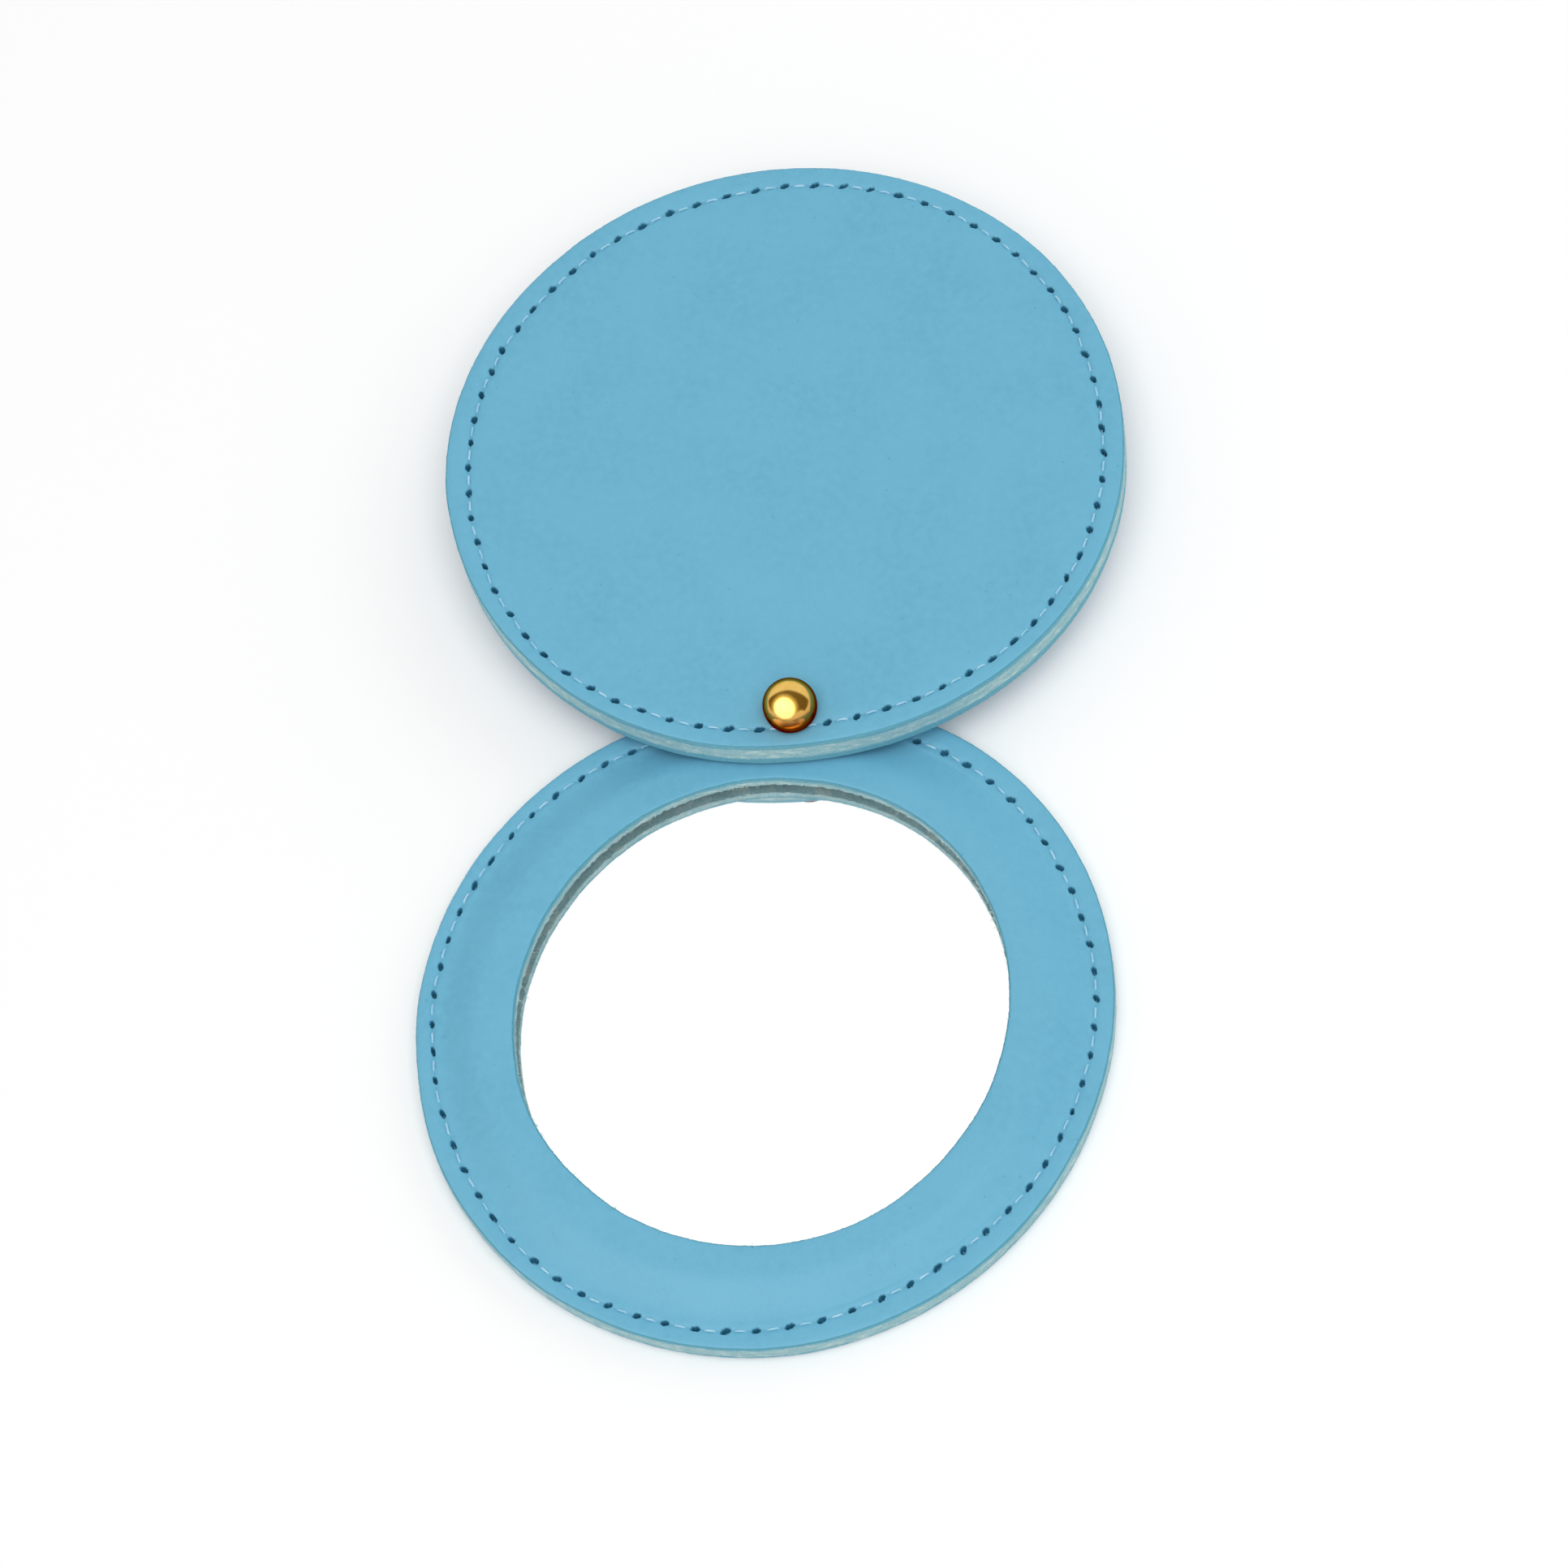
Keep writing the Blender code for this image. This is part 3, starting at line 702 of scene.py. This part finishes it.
def leather_disc(name, face, back, seam, wanders, place, materials, seed):
    """One leather of a disc, from its finished face to the side that is glued."""
    down = 1 if face > back else -1
    depth = HOLE_SHARE * abs(face - back)
    rings = [(0, face, 1, GRAIN)]
    rings += [(radius * MM, face, count, GRAIN) for radius, count in FACE_RINGS]
    rings += [(radius * MM, face, FINE, GRAIN) for radius in SEAM_RADII]
    rings += edge_rings(face, back, down)
    rings += [(radius * MM, back, count, FLESH) for radius, count in BACK_RINGS]
    rings.append((0, back, 1, FLESH))

    def relief(radii, heights, angles):
        near_face = smooth(1 - np.abs(heights - face) / FACE_REACH)
        near_face = near_face * (np.abs(heights - back) > GLUE_HAIRLINE / 2)
        drop = seam.drop(radii, angles, depth) * near_face
        swell = FACE_SWELL * waver(angles, seed + 3, *SWELL_WAVES) * smooth(radii / DISC_RADIUS)
        swell = np.abs(swell) * near_face * (down > 0)
        out = edge_drift(radii, heights, angles, wanders, seed)
        return radii + out, heights - down * drop - swell

    return turned_skin(name, rings, relief, place, materials, flipped=down < 0)


def ring_height(radii):
    """Face of the window leather: flat over the glass, easing down to the sewn rim."""
    share = smooth((radii - SLOPE_TOP + SLOPE_EASING) / (SLOPE_FOOT - SLOPE_TOP + SLOPE_EASING))
    return RAISED_TOP - share * (RAISED_TOP - RIM_TOP)


def window_leather(name, seam, wanders, place, materials, seed):
    """The case's front leather, with the window cut in it and the slope where it leaves the glass."""
    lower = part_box("case_front_leather")[0].z
    thickness = RIM_TOP - lower
    underside = RAISED_TOP - thickness
    depth = HOLE_SHARE * thickness
    rings = []
    for step in range(WALL_STEPS + 1):
        height = underside + (RAISED_TOP - EDGE_ROUNDING - underside) * step / WALL_STEPS
        rings.append((WINDOW_RADIUS, height, FINE, WALL))
    for step, turn in enumerate(quarter_turn(ROUND_STEPS), start=1):
        radius = WINDOW_RADIUS + EDGE_ROUNDING * (1 - math.cos(turn))
        height = RAISED_TOP - EDGE_ROUNDING * (1 - math.sin(turn))
        rings.append((radius, height, FINE, WALL if step <= ROUND_STEPS - GRAIN_STEPS else GRAIN))
    rings += [(radius * MM, ring_height(radius * MM), FINE // 2, GRAIN) for radius in SLOPE_RADII]
    rings += [(radius * MM, ring_height(radius * MM), FINE, GRAIN) for radius in SEAM_RADII]
    rings += edge_rings(RIM_TOP, CASE_JOIN + GLUE_HAIRLINE / 2, 1)
    rings.append((RIM_FOOT_RADIUS * MM, lower, FINE // 2, FLESH))
    for radius in UNDERSIDE_RADII:
        height = max(ring_height(radius * MM) - thickness, lower)
        rings.append((radius * MM, height, FINE // 4, FLESH))

    def relief(radii, heights, angles):
        layer = fibre_layer(heights)
        near_face = smooth(1 - np.abs(heights - ring_height(radii)) / FACE_REACH)
        near_face = near_face * (radii > SEAM_SINK_START)
        drop = seam.drop(radii, angles, depth) * near_face
        out = edge_drift(radii, heights, angles, wanders, seed)
        to_window = np.clip((TRUE_RADIUS - radii) / (TRUE_RADIUS - WINDOW_RADIUS), 0, 1)
        out += to_window * wander(angles, WINDOW_WANDER)
        inside = smooth(1 - (radii - WINDOW_RADIUS) / RIM_WIDTH)
        frayed = smooth((underside + RIM_WIDTH - heights) / RIM_WIDTH) * inside
        out += WINDOW_WAVER * waver(angles, seed + 8, *WINDOW_WAVES) * inside
        quick = waver(angles, seed * 17 + layer, *WINDOW_FIBRE_WAVES)
        out += WINDOW_FIBRE_WAVER * quick * (inside + frayed)
        out += FRAY_OUT * waver(angles, seed + 19, *FRAY_OUT_WAVES) * frayed
        drop = drop + FRAY_DOWN * np.abs(waver(angles, seed + 23, *FRAY_DOWN_WAVES)) * frayed
        swell_share = smooth((radii - RING_SWELL_START) / RING_SWELL_RUN) * (heights[0] > RIM_TOP)
        swell = RING_SWELL * waver(angles, seed + 3, *RING_SWELL_WAVES) * swell_share
        return radii + out, heights - drop - np.abs(swell)

    return turned_skin(name, rings, relief, place, materials, loop=True)


def sewing_thread(name, seam, seam_table, face, down, place, material):
    """One thread of a seam: a run along the face from hole to hole, and a dip into each hole."""
    count = STITCH_COUNT * POINTS_A_STITCH
    even = np.arange(count) * math.tau / count
    centre = (np.floor(even / STITCH_TURN) + 0.5) * STITCH_TURN
    side = np.where(even >= centre, 1, -1)
    from_hole = np.abs(even - centre) * STITCH_RADIUS
    turn = even + seam.slip(even + seam.slip(even)) + seam.between(seam.along, even) / STITCH_RADIUS
    leaning = 1 - smooth((from_hole - LEAN_END) / LEAN_FADE)
    lean = -THREAD_LEAN * side * np.minimum(from_hole, LEAN_LENGTH) * leaning
    reach = STITCH_RADIUS + wander(turn, seam_table) + seam.between(seam.across, even) + lean
    reach = reach - seam.sway(turn)
    dip = 1 - smooth((from_hole - THREAD_BEND) / THREAD_RISE)
    arch = THREAD_ARCH * waver(even, seam.seed + 9, *ARCH_WAVES) * (1 - dip)
    level = face - down * (SEAM_SINK + THREAD_BED + THREAD_DIP * dip - arch)
    line = np.stack([reach * np.cos(turn), reach * np.sin(turn), level], axis=1)
    ahead = np.roll(line, -1, axis=0) - np.roll(line, 1, axis=0)
    ahead /= np.linalg.norm(ahead, axis=1)[:, None]
    outward = np.stack([np.cos(turn), np.sin(turn), np.zeros(count)], axis=1)
    outward -= ahead * (outward * ahead).sum(1)[:, None]
    outward /= np.linalg.norm(outward, axis=1)[:, None]
    upward = np.cross(outward, ahead)
    steps = np.linalg.norm(np.roll(line, -1, axis=0) - line, axis=1)
    length = steps.sum()
    travelled = np.concatenate([[0], np.cumsum(steps)[:-1]])
    turns = round(length / THREAD_LAY)
    lay = travelled / length * turns * math.tau
    squeeze = 1 - THREAD_SQUEEZE * dip
    points = []
    for number in range(THREAD_SIDES):
        around = number * math.tau / THREAD_SIDES
        ply = 0.5 + 0.5 * np.cos(THREAD_PLIES * around - lay)
        radius = THREAD_RADIUS * squeeze * (PLY_GROOVE + PLY_RISE * np.sqrt(ply))
        offset = outward * (radius * math.cos(around))[:, None]
        offset = offset + upward * (radius * math.sin(around))[:, None]
        points.append(line + offset)
    points = np.stack(points, axis=1).reshape(-1, 3)
    faces = []
    for i in range(count):
        j = (i + 1) % count
        for k in range(THREAD_SIDES):
            m = (k + 1) % THREAD_SIDES
            faces.append((
                i * THREAD_SIDES + k, i * THREAD_SIDES + m, j * THREAD_SIDES + m, j * THREAD_SIDES + k))
    return new_piece(name, points.tolist(), faces, place, [material])


def bored(item, cuts):
    """Cut round holes on the rivet's axis through a leather. A cut is (radius, bottom, top)."""
    cutters = []
    for radius, bottom, top in cuts:
        bpy.ops.mesh.primitive_cylinder_add(
            vertices=CUTTER_SEGMENTS, radius=radius, depth=top - bottom,
            location=(RIVET_AXIS.x, RIVET_AXIS.y, (top + bottom) / 2))
        cutter = bpy.context.object
        cutter.data.materials.append(item.data.materials[FLESH])
        boolean = item.modifiers.new("Bore", "BOOLEAN")
        boolean.operation = "DIFFERENCE"
        boolean.solver = "EXACT"
        boolean.object = cutter
        cutters.append(cutter)
    solid = item.evaluated_get(bpy.context.evaluated_depsgraph_get())
    made = bpy.data.meshes.new_from_object(solid)
    item.modifiers.clear()
    item.data = made
    for cutter in cutters:
        bpy.data.objects.remove(cutter, do_unlink=True)


def cap_dome(radius, base, crown):
    """Profile of the cap's dome, from beside the crown to its base."""
    turns = quarter_turn(DOME_STEPS)
    return [(radius * math.sin(turn), base + (crown - base) * math.cos(turn)) for turn in turns]


def rivet_cap(material):
    """Cap of the rivet, stamped from sheet, with its skirt drawn in under the socket's flange."""
    low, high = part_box("rivet_cap")
    radius = (high.x - low.x) / 2
    skirt = COVER_TOP + CAP_GAP
    base = high.z - radius
    inside_top = high.z - CAP_SHEET
    outline = cap_dome(radius, base, high.z)
    for turn in quarter_turn(DOME_STEPS):
        drawn_in = CAP_DRAWN_IN * (1 - math.cos(turn))
        outline.append((radius - drawn_in, base - (base - skirt) * math.sin(turn)))
    outline += [
        (CAP_LIP, skirt), (CAP_LIP, skirt + CAP_SHEET),
        (radius - CAP_SHEET - CAP_DRAWN_IN, skirt + CAP_SHEET)]
    outline += cap_dome(radius - CAP_SHEET, base, inside_top)[::-1]
    rings = [(0, high.z, 1, 0)]
    rings += [(ring_radius, height, CAP_SEGMENTS, 0) for ring_radius, height in outline]
    rings.append((0, inside_top, 1, 0))
    place = Matrix.Translation((RIVET_AXIS.x, RIVET_AXIS.y, 0))

    def relief(radii, heights, angles):
        return radii, heights

    return turned_skin("rivet_cap_dome", rings, relief, place, [material])


def window_fibres(place, material):
    """Loose fibres left by the cutting die, along the lower edge of the window."""
    rng = np.random.default_rng(41)
    glass_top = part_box("mirror_glass")[1].z
    points = []
    faces = []
    for _ in range(FIBRE_COUNT):
        angle = rng.uniform(0, math.tau)
        root_radius = WINDOW_RADIUS + wander(angle, WINDOW_WANDER) + FIBRE_INSET * MM
        root = np.array([
            root_radius * math.cos(angle), root_radius * math.sin(angle),
            glass_top + rng.uniform(*FIBRE_ROOTS) * MM])
        inward = -np.array([math.cos(angle), math.sin(angle), 0])
        tangent = np.array([-math.sin(angle), math.cos(angle), 0])
        length = rng.uniform(*FIBRE_LENGTHS) * MM * (LONG_FIBRE if rng.random() < LONG_FIBRES else 1)
        sideways = rng.normal(0, FIBRE_SLANT)
        droop = rng.uniform(*FIBRE_DROOPS)
        root_thickness = rng.uniform(*FIBRE_RADII) * MM
        heading = inward + tangent * sideways
        heading /= np.linalg.norm(heading)
        bend = tangent * rng.normal(0, FIBRE_BEND)
        across = np.cross(heading, [0, 0, 1])
        start = len(points)
        for ring in range(FIBRE_RINGS):
            share = ring / (FIBRE_RINGS - 1)
            spot = root + heading * length * share + bend * length * share * share
            spot[2] = max(
                root[2] - droop * length * share * share, glass_top + FIBRE_CLEARANCE * MM)
            radius = root_thickness * (1 - FIBRE_TAPER * share)
            for k in range(FIBRE_SIDES):
                turn = k * math.tau / FIBRE_SIDES
                up = np.array([0, 0, radius * math.sin(turn)])
                points.append(spot + across * radius * math.cos(turn) + up)
        for ring in range(FIBRE_RINGS - 1):
            for k in range(FIBRE_SIDES):
                here = start + ring * FIBRE_SIDES + k
                following = start + ring * FIBRE_SIDES + (k + 1) % FIBRE_SIDES
                faces.append((here, following, following + FIBRE_SIDES, here + FIBRE_SIDES))
        tip = start + (FIBRE_RINGS - 1) * FIBRE_SIDES
        faces.append(tuple(start + k for k in reversed(range(FIBRE_SIDES))))
        faces.append(tuple(tip + k for k in range(FIBRE_SIDES)))
    return new_piece("window_loose_fibres", [tuple(p) for p in points], faces, place, [material])


def declare(item, body, slot, *nodes):
    """Attach a piece to its body and hide the CAD nodes it stands for; slot is not used."""
    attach(item, body)
    if nodes:
        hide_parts(*nodes)


CASE_JOIN = (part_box("case_back_leather")[1].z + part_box("case_front_leather")[0].z) / 2
COVER_JOIN = (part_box("cover_back_leather")[1].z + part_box("cover_front_leather")[0].z) / 2
CASE_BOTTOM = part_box("case_back_leather")[0].z
COVER_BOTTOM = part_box("cover_back_leather")[0].z
COVER_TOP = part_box("cover_front_leather")[1].z

grain = calf_grain()
flesh = calf_flesh()
thread = spun_thread()
brass = polished_brass("polished_brass_cap", COVER_TOP + PAINTED_DARK_FOOT)
# The post is painted brown at its foot too, in its pocket
post_brass = polished_brass("polished_brass_post", CASE_BOTTOM)
cover_front_edge = cut_edge("cover_front_cut_edge", COVER_TOP, dyed_depth=0.72 * MM)
cover_back_edge = cut_edge("cover_back_cut_edge", COVER_BOTTOM, dyed_depth=1.2 * MM)
case_front_edge = cut_edge("case_front_cut_edge", RIM_TOP, dyed_depth=0.46 * MM)
case_back_edge = cut_edge("case_back_cut_edge", CASE_BOTTOM, dyed_depth=0.45 * MM)
window_edge = cut_edge("window_cut_edge", RAISED_TOP, dyed_depth=0.58 * MM)

cover_seam = Seam(seed=101, drift=COVER_STITCH_DRIFT)
case_seam = Seam(seed=303, drift=CASE_STITCH_DRIFT)
cover_wanders = (COVER_SEAM_WANDER, COVER_EDGE_WANDER)
case_wanders = (CASE_SEAM_WANDER, CASE_EDGE_WANDER)

cover_front = leather_disc(
    "cover_front_calf", COVER_TOP, COVER_JOIN + GLUE_HAIRLINE / 2, cover_seam, cover_wanders,
    COVER_PLACE, [grain, cover_front_edge, flesh], seed=11)
bored(cover_front, [(BORE_RADIUS, COVER_JOIN - THROUGH, COVER_TOP + THROUGH)])
declare(cover_front, "cover", "blue_leather", "cover_front_leather")

cover_back = leather_disc(
    "cover_back_calf", COVER_BOTTOM, COVER_JOIN - GLUE_HAIRLINE / 2, cover_seam, cover_wanders,
    COVER_PLACE, [grain, cover_back_edge, flesh], seed=23)
bored(cover_back, [(BORE_RADIUS, COVER_BOTTOM - THROUGH, COVER_JOIN + THROUGH)])
declare(cover_back, "cover", "blue_leather", "cover_back_leather")

case_front = window_leather(
    "case_front_calf", case_seam, case_wanders, CASE_PLACE,
    [grain, case_front_edge, flesh, window_edge], seed=37)
bored(case_front, [(BORE_RADIUS, CASE_JOIN - THROUGH, RAISED_TOP + THROUGH)])
declare(case_front, "case", "blue_leather", "case_front_leather")

case_back = leather_disc(
    "case_back_calf", CASE_BOTTOM, CASE_JOIN - GLUE_HAIRLINE / 2, case_seam, case_wanders,
    CASE_PLACE, [grain, case_back_edge, flesh], seed=53)
bored(case_back, [
    (BORE_RADIUS, CASE_BOTTOM - THROUGH, CASE_JOIN + THROUGH),
    (POCKET_RADIUS, CASE_BOTTOM - THROUGH, POCKET_TOP)])
declare(case_back, "case", "blue_leather", "case_back_leather")

for body, seam, seam_table, place, front, back in (
        ("cover", cover_seam, COVER_SEAM_WANDER, COVER_PLACE, COVER_TOP, COVER_BOTTOM),
        ("case", case_seam, CASE_SEAM_WANDER, CASE_PLACE, RIM_TOP, CASE_BOTTOM)):
    for kind, face, down in (("needle", front, 1), ("bobbin", back + BOBBIN_BED, -1)):
        name = body + "_" + kind
        item = sewing_thread(name + "_spun_thread", seam, seam_table, face, down, place, thread)
        declare(item, body, "pale_thread", name + "_thread")

declare(rivet_cap(brass), "case", "polished_brass", "rivet_cap")
declare(window_fibres(CASE_PLACE, loose_fibre()), "case", "blue_leather")

for node, material in (
        ("mirror_glass", float_glass()),
        ("mirror_silver_backing", silver_coat()),
        ("rivet_socket", plated_steel()),
        ("rivet_post", post_brass)):
    for material_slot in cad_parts[node].material_slots:
        material_slot.material = material


# Floor, light and camera

bpy.ops.mesh.primitive_circle_add(vertices=96, radius=4.0, fill_type="NGON", location=(0, 0, CAD_LOW.z))
floor = bpy.context.object
floor.name = "table_top"
floor.data.materials.append(painted_table())


def soft_light(name, place, width, height, brightness, lights=True, shines=True, through_glass=False):
    """Oval softbox aimed at the object. Its brightness is that of its face, where 1 is white.

    It lights the object, or shines back from what is polished, or does both.
    """
    data = bpy.data.lights.new(name, "AREA")
    data.shape = "ELLIPSE"
    data.size = width
    data.size_y = height
    data.energy = brightness * math.pi * (math.pi * width * height / 4)  # pi times the oval's area
    item = bpy.data.objects.new(name, data)
    item.visible_diffuse = lights
    item.visible_glossy = shines
    item.visible_transmission = through_glass
    item.location = place
    item.rotation_euler = (-Vector(place)).to_track_quat("-Z", "Y").to_euler()
    bpy.context.scene.collection.objects.link(item)


soft_light(
    "front_softbox", (-0.31, -0.73, 0.77), width=2.2, height=2.1, brightness=2.1, lights=False)
soft_light(
    "overhead_softbox", (0.08, -0.28, 1.05), width=1.2, height=1.2, brightness=1.75, shines=False,
    through_glass=True)
soft_light(
    "back_softbox", (0.79, 0.56, 0.51), width=2.0, height=0.8, brightness=0.6, shines=False)

# What the studio round the table shows to each kind of ray
# Tops of its walls: between two directions, from front to back, they rise from one height to another
BACK_WALL_TOP = (0.1, 0.65, -0.2, 0.86)
FRONT_WALL_TOP = (-0.3, -0.6, -0.2, 0.30)
WALL_BLUR = (-0.1, 0.1)
DARK_CEILING = "#75663C"
TO_FRONT_LAMP = (-0.281, -0.661, 0.697)
GLOW_REACH = (0.40, 0.74)       # cosines of the angles from the lamp where its glow starts and is full
LAMP_GLOW = "#FFF3CC"
DARK_AHEAD = "#2E2512"
AHEAD_WIDTH = (0.3, 0.6)
ROOM_LIGHT = "#BFBFBF"          # falls on what is matt
GLASS_GAIN = 0.09               # its light is this much stronger by way of the glass
WINDOW_GAIN = 2.2               # and this much more where that light falls on leather

world = bpy.data.worlds.new("pale_studio")
bpy.context.scene.world = world
world.use_nodes = True
sky = world.node_tree
background = sky.nodes["Background"]
direction = add(sky, "ShaderNodeTexCoord").outputs["Generated"]
parts = add(sky, "ShaderNodeSeparateXYZ", {0: direction})
path = add(sky, "ShaderNodeLightPath")
diffuse_depth = path.outputs["Diffuse Depth"]

# Mirrored in what is polished: white walls, and a dark ceiling with a glow round the front lamp
wall_top = span(sky, parts.outputs["Y"], *BACK_WALL_TOP, smooth=True)
front_top = span(sky, parts.outputs["Y"], *FRONT_WALL_TOP, smooth=True)
wall_top = maths(sky, "MAXIMUM", wall_top, front_top)
below_top = maths(sky, "SUBTRACT", wall_top, parts.outputs["Z"])
to_lamp = add(
    sky, "ShaderNodeVectorMath", {0: direction, 1: TO_FRONT_LAMP}, operation="DOT_PRODUCT")
glow = span(sky, to_lamp.outputs["Value"], *GLOW_REACH, smooth=True)
ceiling = blend(sky, glow, linear(DARK_CEILING), linear(LAMP_GLOW))
wall_share = span(sky, below_top, *WALL_BLUR, smooth=True)
tone = blend(sky, wall_share, ceiling, linear("#FFFFFF"))

# Mirrored twice, as where the cap shows the mirror: dark straight ahead and white to the sides
twice = maths(sky, "COMPARE", path.outputs["Glossy Depth"], 2.0, 0.5)
twice = maths(sky, "SUBTRACT", twice, diffuse_depth)
twice = maths(sky, "MAXIMUM", twice, 0.0)
aside = span(sky, maths(sky, "ABSOLUTE", parts.outputs["X"]), *AHEAD_WIDTH, smooth=True)
mirrored = blend(sky, aside, linear(DARK_AHEAD), linear("#FFFFFF"))
tone = blend(sky, twice, tone, mirrored)

# White to the camera and through the glass
through = maths(sky, "SUBTRACT", path.outputs["Is Transmission Ray"], twice)
through = maths(sky, "MAXIMUM", through, 0.0)
seen = maths(sky, "MAXIMUM", path.outputs["Is Camera Ray"], through)
polished = maths(sky, "MAXIMUM", path.outputs["Is Glossy Ray"], twice)
shown = blend(sky, polished, linear(ROOM_LIGHT), tone)
shown = blend(sky, seen, shown, linear("#FFFFFF"))

# Leather under the window's edge gets its light by way of the glass and the silver. The renderer
# follows too few bounces for that, so the studio is stronger for rays between leather and glass.
strength = maths(sky, "MULTIPLY_ADD", through, GLASS_GAIN, 1.0)
under_window = maths(sky, "MULTIPLY", through, maths(sky, "MINIMUM", diffuse_depth, 1.0))
strength = maths(sky, "MULTIPLY_ADD", under_window, WINDOW_GAIN, strength)
join(sky, background, {"Color": shown, "Strength": strength})

# Camera, fitted to the photo
camera_data = bpy.data.cameras.new("camera")
camera_data.sensor_width = 36
camera_data.lens = 115.812
camera = bpy.data.objects.new("camera", camera_data)
camera.location = (0.070477, -0.238754, 0.449019)
camera.rotation_euler = Euler([math.radians(turn) for turn in (27.6988, 7.4357, 2.712)])
bpy.context.scene.collection.objects.link(camera)
bpy.context.scene.camera = camera
bpy.context.scene.view_settings.view_transform = "Standard"
